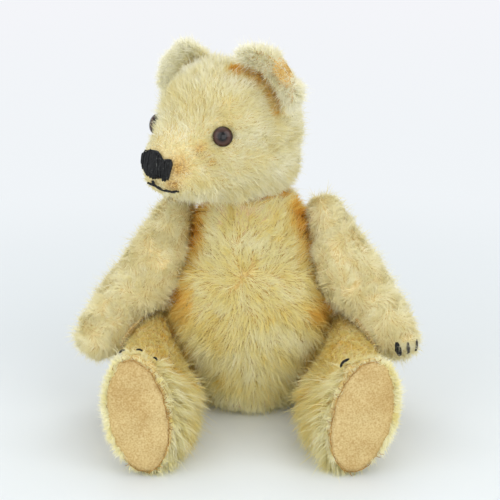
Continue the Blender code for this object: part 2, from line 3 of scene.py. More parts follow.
import bmesh
import bpy
import numpy as np
from mathutils import Matrix, Vector
from mathutils.bvhtree import BVHTree
from mathutils.kdtree import KDTree
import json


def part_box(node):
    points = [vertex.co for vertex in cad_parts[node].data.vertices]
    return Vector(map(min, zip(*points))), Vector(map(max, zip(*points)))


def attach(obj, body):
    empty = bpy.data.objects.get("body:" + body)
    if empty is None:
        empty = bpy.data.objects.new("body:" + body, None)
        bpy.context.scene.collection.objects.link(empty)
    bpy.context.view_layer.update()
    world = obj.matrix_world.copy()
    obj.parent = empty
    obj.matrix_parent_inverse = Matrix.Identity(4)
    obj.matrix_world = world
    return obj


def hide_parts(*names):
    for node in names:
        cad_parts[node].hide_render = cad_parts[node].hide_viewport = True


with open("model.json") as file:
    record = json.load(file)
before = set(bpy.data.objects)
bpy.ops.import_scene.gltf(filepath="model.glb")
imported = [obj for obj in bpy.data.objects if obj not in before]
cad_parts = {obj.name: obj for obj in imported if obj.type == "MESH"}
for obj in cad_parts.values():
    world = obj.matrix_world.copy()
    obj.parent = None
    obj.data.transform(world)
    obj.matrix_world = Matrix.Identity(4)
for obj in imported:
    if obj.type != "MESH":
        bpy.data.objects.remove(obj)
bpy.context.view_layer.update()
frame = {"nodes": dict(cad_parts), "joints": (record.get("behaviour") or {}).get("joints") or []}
rng = np.random.default_rng(11)

faceTurn = math.radians(45)
faceForward = np.array([-math.sin(faceTurn), -math.cos(faceTurn), 0.0])
faceLeft = np.array([math.cos(faceTurn), -math.sin(faceTurn), 0.0])
upward = np.array([0.0, 0.0, 1.0])
sides = {"left": 1.0, "right": -1.0}


# Camera, floor and light


def link(thing):
    bpy.context.scene.collection.objects.link(thing)
    return thing


def aim(thing, place, target):
    thing.location = place
    thing.rotation_euler = (Vector(target) - Vector(place)).to_track_quat("-Z", "Y").to_euler()


def makeCamera():
    view = {"lens": 108, "sensor": 36, "place": (0, -0.6085, 0.230), "target": (0, 0, 0.067)}
    lens = bpy.data.cameras.new("view")
    lens.lens = view["lens"]
    lens.sensor_width = view["sensor"]
    camera = link(bpy.data.objects.new("view", lens))
    aim(camera, view["place"], view["target"])
    bpy.context.scene.camera = camera


def areaLight(name, place, width, power, colour):
    lamp = bpy.data.lights.new(name, "AREA")
    lamp.size = width
    lamp.energy = power
    lamp.color = colour
    aim(link(bpy.data.objects.new(name, lamp)), place, (0, 0, 0.07))


def tint(red, green, blue):
    # a colour as it is seen, 0 to 255, in the linear values that a shader takes
    share = np.array([red, green, blue]) / 255
    linear = np.where(share > 0.04045, ((share + 0.055) / 1.055) ** 2.4, share / 12.92)
    return (*(float(v) for v in linear), 1.0)


def addNode(tree, kind, settings=None, values=None, links=None):
    made = tree.nodes.new("ShaderNode" + kind)
    for key, value in (settings or {}).items():
        setattr(made, key, value)
    for key, value in (values or {}).items():
        made.inputs[key].default_value = value
    for key, source in (links or {}).items():
        tree.links.new(source, made.inputs[key])
    return made


def ramp(tree, source, stops):
    made = addNode(tree, "ValToRGB", links={"Fac": source})
    steps = made.color_ramp.elements
    while len(steps) < len(stops):
        steps.new(0.5)
    for step, (position, colour) in zip(steps, stops):
        step.position = position
        step.color = tint(*colour)
    return made.outputs["Color"]


def newMaterial(name, colour=None, roughness=0.8, specular=0.3):
    made = bpy.data.materials.new(name)
    made.use_nodes = True
    shader = made.node_tree.nodes["Principled BSDF"]
    shader.inputs["Roughness"].default_value = roughness
    shader.inputs["Specular IOR Level"].default_value = specular
    if colour:
        shader.inputs["Base Color"].default_value = tint(*colour)
    return made, made.node_tree, shader


def studioWorld(paper, ambient):
    # the camera, gloss and glass see the paper, everything else the softer light
    scene = bpy.context.scene
    scene.view_settings.view_transform = "Standard"
    scene.world = bpy.data.worlds.new("studio")
    scene.world.use_nodes = True
    tree = scene.world.node_tree
    rays = addNode(tree, "LightPath")
    seen = addNode(tree, "Math", {"operation": "MAXIMUM"}, None,
                   {0: rays.outputs["Is Camera Ray"], 1: rays.outputs["Is Glossy Ray"]})
    seen = addNode(tree, "Math", {"operation": "MAXIMUM"}, None,
                   {0: seen.outputs[0], 1: rays.outputs["Is Transmission Ray"]})
    shade = addNode(tree, "Mix", {"data_type": "RGBA"}, {6: (*ambient, 1), 7: tint(*paper)},
                    {0: seen.outputs[0]})
    tree.links.new(shade.outputs[2], tree.nodes["Background"].inputs["Color"])


def makeStage():
    studio = {
        "reach": 3.0,
        "floor": (229, 234, 236),
        "paperNear": (239, 244, 247),
        "paperFar": (244, 245, 249),
        "ambient": (0.56, 0.57, 0.58),
        "fade": (0.16, 0.42),
        "farAt": 1.6,
    }
    lamps = {
        "key": ((0.60, -0.80, 0.66), 0.9, 5.1, (1.0, 0.995, 0.98)),
        "fill": ((-0.66, -0.72, 0.42), 0.9, 4.1, (0.98, 0.99, 1.0)),
        "front": ((0.04, -0.95, 0.24), 0.5, 1.7, (1.0, 1.0, 0.99)),
        "top": ((0.0, 0.35, 0.95), 1.1, 3.7, (1.0, 1.0, 1.0)),
    }
    studioWorld(studio["paperFar"], studio["ambient"])
    panel = bmesh.new()
    bmesh.ops.create_grid(panel, x_segments=1, y_segments=1, size=studio["reach"])
    finish, tree, shader = newMaterial("floor", studio["floor"], 0.95, 0.05)
    place = addNode(tree, "TexCoord").outputs["Object"]
    parts = addNode(tree, "SeparateXYZ", links={0: place})
    reach = addNode(tree, "VectorMath", {"operation": "LENGTH"}, None, {0: place})
    away = addNode(tree, "MapRange", {"interpolation_type": "SMOOTHSTEP"},
                   {1: studio["fade"][0], 2: studio["fade"][1]}, {0: reach.outputs["Value"]})
    rays = addNode(tree, "LightPath")
    share = addNode(tree, "Math", {"operation": "MULTIPLY"}, None,
                    {0: away.outputs[0], 1: rays.outputs["Is Camera Ray"]})
    depth = addNode(tree, "MapRange", None, {1: 0.0, 2: studio["farAt"]}, {0: parts.outputs[1]})
    paper = ramp(tree, depth.outputs[0], [(0.0, studio["paperNear"]), (1.0, studio["paperFar"])])
    glow = addNode(tree, "Emission", links={"Color": paper})
    mixed = addNode(tree, "MixShader", None, None,
                    {0: share.outputs[0], 1: shader.outputs[0], 2: glow.outputs[0]})
    tree.links.new(mixed.outputs[0], tree.nodes["Material Output"].inputs["Surface"])
    mesh = asMesh("floor", panel)
    mesh.materials.append(finish)
    link(bpy.data.objects.new("floor", mesh))
    for name, (place, width, power, colour) in lamps.items():
        areaLight(name, place, width, power, colour)
    print("stage")


# Forms taken from the solids


def asMesh(name, shape):
    mesh = bpy.data.meshes.new(name)
    shape.to_mesh(mesh)
    shape.free()
    return mesh


def newPiece(name, mesh, body, finish=None):
    mesh.name = name
    made = link(bpy.data.objects.new(name, mesh))
    if finish:
        mesh.materials.clear()
        mesh.materials.append(finish)
    mesh.shade_smooth()
    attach(made, body)
    return made


def islands(shape):
    # the separate shells of a shape, largest first
    left = set(shape.faces)
    found = []
    while left:
        group, edge = set(), [left.pop()]
        while edge:
            face = edge.pop()
            group.add(face)
            for side in face.edges:
                for other in side.link_faces:
                    if other in left:
                        left.remove(other)
                        edge.append(other)
        found.append(group)
    return sorted(found, key=lambda faces: -sum(f.calc_area() for f in faces))


def outerShell(nodeName, hollow=True):
    # a solid's outside as one closed shell, without the inner wall of a hollow cover
    shell = bmesh.new()
    shell.from_mesh(frame["nodes"][nodeName].data)
    bmesh.ops.remove_doubles(shell, verts=shell.verts, dist=2e-6)
    if not hollow:
        return shell
    tree = BVHTree.FromBMesh(shell)
    inner = []
    for face in shell.faces:
        start = face.calc_center_median() + face.normal * 3e-5
        if tree.ray_cast(start, face.normal, 0.12)[0] is not None:
            inner.append(face)
    bmesh.ops.delete(shell, geom=inner, context="FACES")
    for scrap in islands(shell)[1:]:
        bmesh.ops.delete(shell, geom=list(scrap), context="FACES")
    bmesh.ops.holes_fill(shell, edges=[e for e in shell.edges if e.is_boundary], sides=0)
    closeRims(shell)
    bmesh.ops.recalc_face_normals(shell, faces=shell.faces)
    return shell


def closeRims(shell):
    # each rim that is still open is drawn together at its middle
    while loose := [e for e in shell.edges if e.is_boundary]:
        rim, edge = set(), [loose[0]]
        while edge:
            side = edge.pop()
            rim.add(side)
            beside = [e for v in side.verts for e in v.link_edges if e.is_boundary]
            edge += [e for e in beside if e not in rim]
        corners = {v for e in rim for v in e.verts}
        middle = sum((v.co for v in corners), Vector()) / len(corners)
        made = bmesh.ops.extrude_edge_only(shell, edges=list(rim))["geom"]
        tips = [part for part in made if isinstance(part, bmesh.types.BMVert)]
        bmesh.ops.pointmerge(shell, verts=tips, merge_co=middle)


def softForm(shell, voxel, rounds):
    # an even, rounded mesh of the shell
    holder = link(bpy.data.objects.new("form", asMesh("form", shell)))
    step = holder.modifiers.new("remesh", "REMESH")
    step.mode = "VOXEL"
    step.voxel_size = voxel
    made = bpy.data.meshes.new_from_object(holder.evaluated_get(bpy.context.evaluated_depsgraph_get()))
    bpy.data.objects.remove(holder)
    shape = bmesh.new()
    shape.from_mesh(made)
    for _ in range(rounds):
        bmesh.ops.smooth_vert(shape, verts=shape.verts, factor=0.5,
                              use_axis_x=True, use_axis_y=True, use_axis_z=True)
    bmesh.ops.triangulate(shape, faces=shape.faces)
    shape.normal_update()
    return shape


def arrays(shape):
    shape.verts.index_update()
    points = np.array([v.co[:] for v in shape.verts])
    normals = np.array([v.normal[:] for v in shape.verts])
    corners = np.array([[v.index for v in f.verts] for f in shape.faces])
    return points, normals, corners


def unit(vectors):
    return vectors / np.maximum(np.linalg.norm(vectors, axis=1, keepdims=True), 1e-9)


def dots(a, b):
    return (a * b).sum(axis=1)


def smoothStep(values, low, high):
    share = np.clip((values - low) / (high - low), 0, 1)
    return share * share * (3 - 2 * share)


def waves(points, size, seed):
    # smooth noise, about -1 to 1, with features of that size
    maker = np.random.default_rng(seed)
    total = np.zeros(len(points))
    for _ in range(7):
        way = maker.normal(size=3)
        way *= 2 * math.pi / size / np.linalg.norm(way) * maker.uniform(0.6, 1.4)
        total += np.sin(points @ way + maker.uniform(0, 2 * math.pi))
    return total / 3.2


def near(points, place, reach):
    # 1 at a place, falling to 0 at reach, in metres
    return 1 - smoothStep(np.linalg.norm(points - np.array(place), axis=1), 0, reach)


treeOf = {}


def nodeTree(nodeName):
    if nodeName not in treeOf:
        shape = bmesh.new()
        shape.from_mesh(frame["nodes"][nodeName].data)
        treeOf[nodeName] = BVHTree.FromBMesh(shape)
        shape.free()
    return treeOf[nodeName]


def moveTo(shape, points):
    for vert, place in zip(shape.verts, points):
        vert.co = place


def gapTo(points, nodeNames, reach=0.009):
    # how far each point is from the nearest of those solids, up to reach
    gaps = np.full(len(points), reach)
    for name in nodeNames:
        tree = nodeTree(name)
        found = [tree.find_nearest(p, reach)[3] for p in points]
        gaps = np.minimum(gaps, [reach if d is None else d for d in found])
    return gaps


def beside(points, nodeNames, low, high, reach=0.009):
    # 1 within low of those solids, falling to 0 at high
    return 1 - smoothStep(gapTo(points, nodeNames, reach), low, high)


# Fur

bladeTurn = 0.35  # radians, how far a strand's flat side turns out of the cloth
rootDepth = 0.0003  # how far a strand starts inside its form
floorGap = 0.0003  # how close to the floor a strand may come


def scatter(form, count, density):
    # roots on the form's triangles, by area and density, with their normals
    points, normals, corners = form
    a, b, c = (points[corners[:, i]] for i in range(3))
    area = np.linalg.norm(np.cross(b - a, c - a), axis=1) / 2
    middle = (a + b + c) / 3
    facing = unit(normals[corners].sum(axis=1))
    weight = area * np.clip(density(middle, facing), 0, None)
    picked = rng.choice(len(corners), size=count, p=weight / weight.sum())
    u, v = rng.random((2, count))
    flip = u + v > 1
    u[flip], v[flip] = 1 - u[flip], 1 - v[flip]
    shares = np.stack([1 - u - v, u, v], axis=1)[:, :, None]
    chosen = corners[picked]
    return (points[chosen] * shares).sum(axis=1), unit((normals[chosen] * shares).sum(axis=1))


def growFur(name, form, strands, ways, body, finish):
    # each strand is a flat blade of three triangles, drawn towards its tuft's leader
    count = strands["count"]
    densityAt, combAt, lengthAt, toneAt = ways
    roots, normals = scatter(form, count, densityAt)
    comb = combAt(roots, normals)
    comb = unit(comb - normals * dots(comb, normals)[:, None])
    length = lengthAt(roots, normals) * rng.uniform(0.7, 1.2, count)
    lift = strands["lift"]
    if callable(lift):
        lift = lift(roots, normals)[:, None]

    leaders = max(count // strands["tuft"], 1)
    finder = KDTree(leaders)
    for i in range(leaders):
        finder.insert(roots[i], i)
    finder.balance()
    leader = np.array([finder.find(p)[1] for p in roots])

    stray = unit(rng.normal(size=(count, 3)))
    wild = rng.random(count) < strands["wild"]
    length = length * np.where(wild, 1.35, 1.0)
    way = unit(normals * lift + comb * (1 - lift) + stray * strands["stray"])
    way = unit(way * (1 - strands["follow"]) + way[leader] * strands["follow"])
    loose = unit(normals * 0.7 + comb * 0.4 + stray * 0.6)
    way = np.where(wild[:, None], loose, way)
    way = unit(way + normals * np.clip(0.12 - dots(way, normals), 0, None)[:, None])
    curl = unit(rng.normal(size=(count, 3))) * strands["curl"]
    bent = unit(way + comb * strands["bend"] - normals * strands["bend"] * 0.4 + curl)
    middle = roots + way * (length * 0.5)[:, None]
    tip = middle + bent * (length * 0.55)[:, None]
    pull = strands["clump"] * (rng.uniform(0.5, 1.0, count) * ~wild)[:, None]
    middle += (middle[leader] - middle) * pull * 0.3
    tip += (tip[leader] - tip) * pull * 0.75

    flat = unit(np.cross(way, normals))
    turn = rng.normal(0, bladeTurn, count)[:, None]
    across = flat * np.cos(turn) + np.cross(way, flat) * np.sin(turn)
    half = across * (strands["width"] * rng.uniform(0.7, 1.2, count) / 2)[:, None]
    base = roots - normals * rootDepth
    rows = np.stack([base - half, base + half, middle - half * 0.85, middle + half * 0.85, tip], axis=1)
    rows[:, :, 2] = np.maximum(rows[:, :, 2], floorGap)

    tone = toneAt(roots, normals)
    tone = tone + rng.normal(0, strands["tuftTone"], leaders)[leader] + rng.normal(0, 0.045, count)
    tone = np.clip(tone, 0.01, 0.98)
    along = np.array([0.03, 0.03, 0.5, 0.5, 0.97])
    aside = np.array([0.0, 0.006, 0.0, 0.006, 0.003])
    place = np.stack([tone[:, None] + aside, np.tile(along, (count, 1))], axis=2).reshape(-1, 2)

    corners = np.array([[0, 1, 3], [0, 3, 2], [2, 3, 4]])
    faces = (corners[None] + 5 * np.arange(count)[:, None, None]).reshape(-1, 3)
    mesh = bpy.data.meshes.new(name)
    mesh.vertices.add(count * 5)
    mesh.vertices.foreach_set("co", rows.reshape(-1))
    mesh.loops.add(len(faces) * 3)
    mesh.loops.foreach_set("vertex_index", faces.reshape(-1))
    mesh.polygons.add(len(faces))
    mesh.polygons.foreach_set("loop_start", np.arange(0, len(faces) * 3, 3))
    layer = mesh.uv_layers.new(name="OFBake")
    layer.data.foreach_set("uv", place[faces.reshape(-1)].reshape(-1))
    mesh.update(calc_edges=True)
    return newPiece(name, mesh, body, finish)


def furMaterial(name, pile):
    # the map's first coordinate is a strand's tone, the second runs from its root to its tip
    made, tree, shader = newMaterial(name, None, 0.75, 0.25)
    place = addNode(tree, "UVMap", {"uv_map": "OFBake"})
    parts = addNode(tree, "SeparateXYZ", links={0: place.outputs[0]})
    tipColour = ramp(tree, parts.outputs[0], pile["tips"])
    rootColour = ramp(tree, parts.outputs[0], pile["roots"])
    share = addNode(tree, "Math", {"operation": "POWER"}, {1: 0.8}, {0: parts.outputs[1]})
    colour = addNode(tree, "Mix", {"data_type": "RGBA"}, None,
                     {0: share.outputs[0], 6: rootColour, 7: tipColour}).outputs[2]
    tree.links.new(colour, shader.inputs["Base Color"])
    through = addNode(tree, "BsdfTranslucent", links={"Color": colour})
    mixed = addNode(tree, "MixShader", None, {0: 0.5}, {1: shader.outputs[0], 2: through.outputs[0]})
    tree.links.new(mixed.outputs[0], tree.nodes["Material Output"].inputs["Surface"])
    return made


def clothMaterial(name, colour, darker):
    # a plain weave, with the golden ground showing where the mesh says it is worn
    made, tree, shader = newMaterial(name, None, 0.95, 0.1)
    place = addNode(tree, "TexCoord").outputs["Object"]
    noise = addNode(tree, "TexNoise", None, {"Scale": 900, "Detail": 3}, {"Vector": place})
    fresh = ramp(tree, noise.outputs["Fac"], [(0.35, darker), (0.65, colour)])
    knots = addNode(tree, "TexVoronoi", None, {"Scale": 1500}, {"Vector": place})
    bare = ramp(tree, knots.outputs["Distance"],
                [(0.1, (212, 182, 116)), (0.45, (188, 150, 84)), (0.7, (146, 108, 54))])
    worn = addNode(tree, "Attribute", {"attribute_name": "worn"})
    mixed = addNode(tree, "Mix", {"data_type": "RGBA"}, None,
                    {0: worn.outputs["Fac"], 6: fresh, 7: bare}).outputs[2]
    tree.links.new(mixed, shader.inputs["Base Color"])
    bump = addNode(tree, "Bump", None, {"Strength": 0.5, "Distance": 0.0003},
                   {"Height": knots.outputs["Distance"]})
    tree.links.new(bump.outputs[0], shader.inputs["Normal"])
    return made


def markWorn(mesh, amount):
    layer = mesh.attributes.new("worn", "FLOAT", "POINT")
    layer.data.foreach_set("value", amount.astype(np.float32))


# Plush parts: a woven skin a little inside the solid, and fur standing on it

coverOf = {"body": "body_cover", "head": "head_cover"}
neighbours = {
    "body": ["head_cover", "arm_cover_left", "arm_cover_right", "leg_cover_left", "leg_cover_right"],
    "head": ["body_cover", "ear_left", "ear_right"],
}
pads = {}
for side in sides:
    coverOf["arm_" + side] = "arm_cover_" + side
    coverOf["leg_" + side] = "leg_cover_" + side
    neighbours["arm_" + side] = ["body_cover", "head_cover", "leg_cover_" + side]
    neighbours["leg_" + side] = ["body_cover", "arm_cover_" + side, "foot_pad_" + side]
    pads["arm_" + side] = ["paw_pad_" + side]
stitches = {
    "head": ["nose_stitching", "mouth_stitching"],
    "arm_left": ["paw_claw_left_%d" % number for number in (1, 2, 3)],
    "leg_left": ["foot_claw_left_1"],
    "leg_right": ["foot_claw_right_%d" % number for number in (1, 2, 3)],
}
leastInset = 0.0003  # of a skin below its solid's surface, where something touches it


def skinAndForm(part, depth, look, worn=None):
    # the woven skin, and the form that its pile stands on
    shape = softForm(outerShell(coverOf[part]), look["voxel"], look["rounds"])
    points, normals, corners = arrays(shape)
    gap = gapTo(points, neighbours[part] + pads.get(part, []) + stitches.get(part, []))
    inset = leastInset + (depth(points, normals) - leastInset) * smoothStep(gap, 0.0008, 0.0045)
    moved = points - normals * inset[:, None]
    moveTo(shape, moved)
    backing = clothMaterial(part + "_backing", *look["backing"])
    skin = newPiece(part + "_skin", asMesh(part, shape), part, backing)
    markWorn(skin.data, worn(points) if worn else np.zeros(len(points)))
    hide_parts(coverOf[part])
    return moved, normals, corners


def openAir(part):
    # no strand starts where the part touches another, its pads or stitches, or the floor
    def density(points, normals):
        gap = gapTo(points, neighbours[part], 0.004)
        floorward = smoothStep(points[:, 2], 0.0005, 0.002) + (normals[:, 2] > -0.8)
        free = smoothStep(gap, 0.0001, 0.0008) * np.minimum(floorward, 1)
        free *= smoothStep(gapTo(points, pads.get(part, []), 0.002), 0.0001, 0.0004)
        return free * smoothStep(gapTo(points, stitches.get(part, []), 0.003), 0.0009, 0.0019)

    return density


def faceCoords(points):
    # forward, left and up as the turned head has them
    return points @ faceForward, points @ faceLeft, points[:, 2]


goldenPile = {
    "tips": [(0.0, (136, 88, 30)), (0.2, (232, 173, 62)), (0.4, (242, 213, 118)),
             (0.6, (242, 232, 168)), (0.8, (246, 242, 207)), (1.0, (251, 249, 230))],
    "roots": [(0.0, (104, 66, 22)), (0.2, (214, 148, 42)), (0.4, (234, 198, 94)),
              (0.6, (235, 222, 148)), (0.8, (239, 234, 191)), (1.0, (247, 244, 214))],
}
greyPile = {
    "tips": [(0.0, (120, 98, 62)), (0.2, (196, 164, 88)), (0.4, (228, 214, 156)),
             (0.6, (240, 234, 196)), (0.8, (247, 243, 216)), (1.0, (252, 250, 234))],
    "roots": [(0.0, (92, 72, 44)), (0.2, (168, 134, 62)), (0.4, (214, 196, 128)),
              (0.6, (230, 220, 172)), (0.8, (239, 233, 195)), (1.0, (247, 244, 214))],
}
headPile = {
    "tips": [(0.0, (128, 84, 30)), (0.2, (230, 178, 74)), (0.4, (235, 213, 141)),
             (0.6, (240, 233, 189)), (0.8, (244, 241, 217)), (1.0, (251, 249, 237))],
    "roots": [(0.0, (100, 64, 22)), (0.2, (210, 150, 50)), (0.4, (222, 195, 115)),
              (0.6, (230, 219, 160)), (0.8, (237, 232, 194)), (1.0, (245, 243, 219))],
}


def makeBody():
    look = {
        "backing": ((206, 184, 124), (176, 146, 88)),
        "voxel": 0.0017, "rounds": 6, "inset": 0.0024, "fullness": 0.0048,
        "seamX": -0.002, "seamWidth": 0.0012, "seamDepth": 0.0010,
        "pile": 0.0060, "lowPile": 0.0018, "sidePile": 0.0010,
        "spotAt": (-0.0073, -0.015, 0.0899), "spotReach": 0.006,
        # the tone is pale cream less these shares of gold and brown; the gold beside the other parts, at the
        # neck and on the sides is partly the pile's own colour and partly painted shade
        "cream": 0.74, "goldAndShadeBesideParts": 0.28, "moreAtFront": 0.18, "neckGoldAndShade": 0.52,
        "sideGoldAndShade": 0.08, "sideFrontGoldAndShade": 0.32, "lowGold": 0.06, "spotBrown": 0.30, "leastTone": 0.19,
        "strands": {
            "count": 62000, "lift": 0.44, "stray": 0.46, "follow": 0.42, "bend": 0.45, "curl": 0.42,
            "clump": 0.5, "tuft": 20, "width": 0.00023, "tuftTone": 0.05, "wild": 0.05,
        },
    }

    def depth(points, normals):
        front = smoothStep(-points[:, 1], 0.0, 0.015)
        seam = np.exp(-(((points[:, 0] - look["seamX"]) / look["seamWidth"]) ** 2)) * front
        side = smoothStep(np.abs(normals[:, 0]), 0.35, 0.85)
        waist = smoothStep(points[:, 2], 0.018, 0.034) * (1 - smoothStep(points[:, 2], 0.056, 0.068))
        uneven = 0.0004 * waves(points, 0.03, 3)
        return look["inset"] + look["seamDepth"] * seam + uneven - look["fullness"] * side * waist

    form = skinAndForm("body", depth, look)

    def comb(points, normals):
        # parted at the seam, down the belly and up into a whorl on the chest
        aside = np.tanh((points[:, 0] - look["seamX"]) / 0.010)
        low = smoothStep(0.066 - points[:, 2], 0.0, 0.03)
        front = smoothStep(-points[:, 1], -0.01, 0.012)
        rise = smoothStep(points[:, 2], 0.058, 0.067) * front
        flow = np.zeros_like(points)
        flow[:, 0] = front * aside * (0.75 - 0.25 * low - 0.2 * rise) + 0.2 * waves(points, 0.028, 5)
        flow[:, 0] += 0.34 * waves(points, 0.011, 11)
        flow[:, 2] = -0.45 - 0.45 * low - 0.5 * (1 - front) + 1.1 * rise + 0.2 * waves(points, 0.02, 6)
        flow[:, 2] += 0.34 * waves(points, 0.010, 12)
        return flow

    def length(points, normals):
        gap = gapTo(points, neighbours["body"])
        low = smoothStep(0.05 - points[:, 2], 0.0, 0.03)
        value = look["pile"] + look["lowPile"] * low + 0.0008 * waves(points, 0.02, 8)
        value += look["sidePile"] * smoothStep(np.abs(normals[:, 0]), 0.4, 0.9)
        return value * (0.75 + 0.25 * smoothStep(gap, 0.001, 0.006))

    def tone(points, normals):
        value = look["cream"] + 0.08 * waves(points, 0.022, 9) + 0.04 * waves(points, 0.008, 10)
        toFront = smoothStep(-points[:, 1], -0.006, 0.008)
        # painted shade: where the body meets the arms and legs, and more so at the front, the fur is darker
        # and more golden, partly also the less worn pile's own colour
        goldAndShadeShare = look["goldAndShadeBesideParts"] + look["moreAtFront"] * toFront
        value -= goldAndShadeShare * beside(points, neighbours["body"][1:], 0.0012, 0.0075)
        # painted shade: along the neck line the fur is darker and more golden, partly also the pile's own
        # colour
        value -= look["neckGoldAndShade"] * beside(points, ["head_cover"], 0.0010, 0.0036)
        # painted shade: the torso's sides by the arms are darker and more golden, more so at the front,
        # partly also the pile's own colour
        aside = smoothStep(np.abs(normals[:, 0]), 0.52, 0.88)
        golden = look["sideGoldAndShade"] + look["sideFrontGoldAndShade"] * toFront
        value -= golden * aside * smoothStep(points[:, 2], 0.030, 0.048)
        value -= look["lowGold"] * (1 - smoothStep(points[:, 2], 0.012, 0.036))
        value -= look["spotBrown"] * near(points, look["spotAt"], look["spotReach"])
        return np.maximum(value, look["leastTone"])

    ways = (openAir("body"), comb, length, tone)
    finish = furMaterial("body_fur", goldenPile)
    growFur("body_fur", form, look["strands"], ways, "body", finish)
    print("body")


def makeHead():
    look = {
        "backing": ((228, 214, 164), (200, 178, 122)),
        "voxel": 0.0016, "rounds": 5, "inset": 0.0018, "thin": 0.0012, "pile": 0.0046,
        "muzzleTip": faceForward * 0.056 + upward * 0.110,
        # places where the pile is worn away, each with its reach
        "worn": [((-0.0275, -0.0422, 0.1110), 0.0085), ((-0.0295, -0.0412, 0.1040), 0.006),
                 ((-0.0193, -0.0394, 0.1175), 0.0045), ((-0.0147, -0.0391, 0.1127), 0.0045)],
        "browAt": (-0.0089, -0.0368, 0.1275), "browReach": 0.004,
        "spotAt": (-0.0073, -0.0170, 0.0925), "spotReach": 0.006,
        "cream": 0.78, "crown": 0.04, "baldGold": 0.20, "neckGoldAndShade": 0.40, "creaseGoldAndShade": 0.64,
        "browGold": 0.18, "spotBrown": 0.6,
        "strands": {
            "count": 60000, "lift": 0.42, "stray": 0.6, "follow": 0.35, "bend": 0.35, "curl": 0.5,
            "clump": 0.45, "tuft": 12, "width": 0.00021, "tuftTone": 0.05, "wild": 0.08,
        },
    }
    eyes = [eyePlace(side)[0] for side in sides]

    def bald(points):
        return np.max([near(points, place, reach) for place, reach in look["worn"]], axis=0)

    def muzzle(points):
        return smoothStep(faceCoords(points)[0], 0.036, 0.047)

    def fromEyes(points):
        return np.min([np.linalg.norm(points - eye, axis=1) for eye in eyes], axis=0)

    def depth(points, normals):
        thin = np.maximum(bald(points), muzzle(points))
        return look["inset"] - look["thin"] * thin + 0.0003 * waves(points, 0.02, 21)

    form = skinAndForm("head", depth, look, bald)

    def density(points, normals):
        sparse = np.maximum(bald(points), near(points, look["spotAt"], look["spotReach"]))
        clear = openAir("head")(points, normals) * smoothStep(fromEyes(points), 0.0026, 0.0034)
        return clear * (1 - 0.6 * sparse)

    def comb(points, normals):
        flow = unit(points - look["muzzleTip"])
        flow += 0.75 * waves(points, 0.012, 22)[:, None] * unit(np.cross(normals, flow))
        flow[:, 2] -= 0.35 * smoothStep(0.118 - points[:, 2], 0.0, 0.02)
        return flow

    def length(points, normals):
        value = look["pile"] + 0.0006 * waves(points, 0.015, 24)
        value = value * (1 - 0.62 * muzzle(points)) * (1 - 0.6 * bald(points))
        value *= 0.6 + 0.4 * smoothStep(fromEyes(points), 0.004, 0.008)
        value *= 0.65 + 0.35 * smoothStep(gapTo(points, ["ear_left"]), 0.003, 0.008)
        gap = gapTo(points, ["body_cover", "nose_stitching"])
        return value * (0.5 + 0.5 * smoothStep(gap, 0.001, 0.006))

    def tone(points, normals):
        height = faceCoords(points)[2]
        value = look["cream"] + look["crown"] * smoothStep(height, 0.128, 0.142)
        value = value + 0.09 * waves(points, 0.016, 25) + 0.05 * waves(points, 0.006, 26)
        value -= look["baldGold"] * bald(points)
        # painted shade: along the neck line the fur is darker and more golden, partly also the pile's own
        # colour
        value -= look["neckGoldAndShade"] * beside(points, ["body_cover"], 0.001, 0.0035)
        # painted shade: the front of the head in the left ear's crease is darker and more golden, partly
        # also the pile's own colour
        crease = beside(points, ["ear_left"], 0.0022, 0.0080)
        value -= look["creaseGoldAndShade"] * crease * smoothStep(dots(normals, faceForward[None]), -0.2, 0.2)
        brow = look["browGold"] * near(points, look["browAt"], look["browReach"])
        return value - (brow + look["spotBrown"] * near(points, look["spotAt"], look["spotReach"]))

    ways = (density, comb, length, tone)
    finish = furMaterial("head_fur", headPile)
    growFur("head_fur", form, look["strands"], ways, "head", finish)
    print("head")


def jointOf(name):
    # a joint's place and axis
    found = next(j for j in frame["joints"] if j["name"] == name)
    return np.array(found["pos_m"]), np.array(found["axis"])


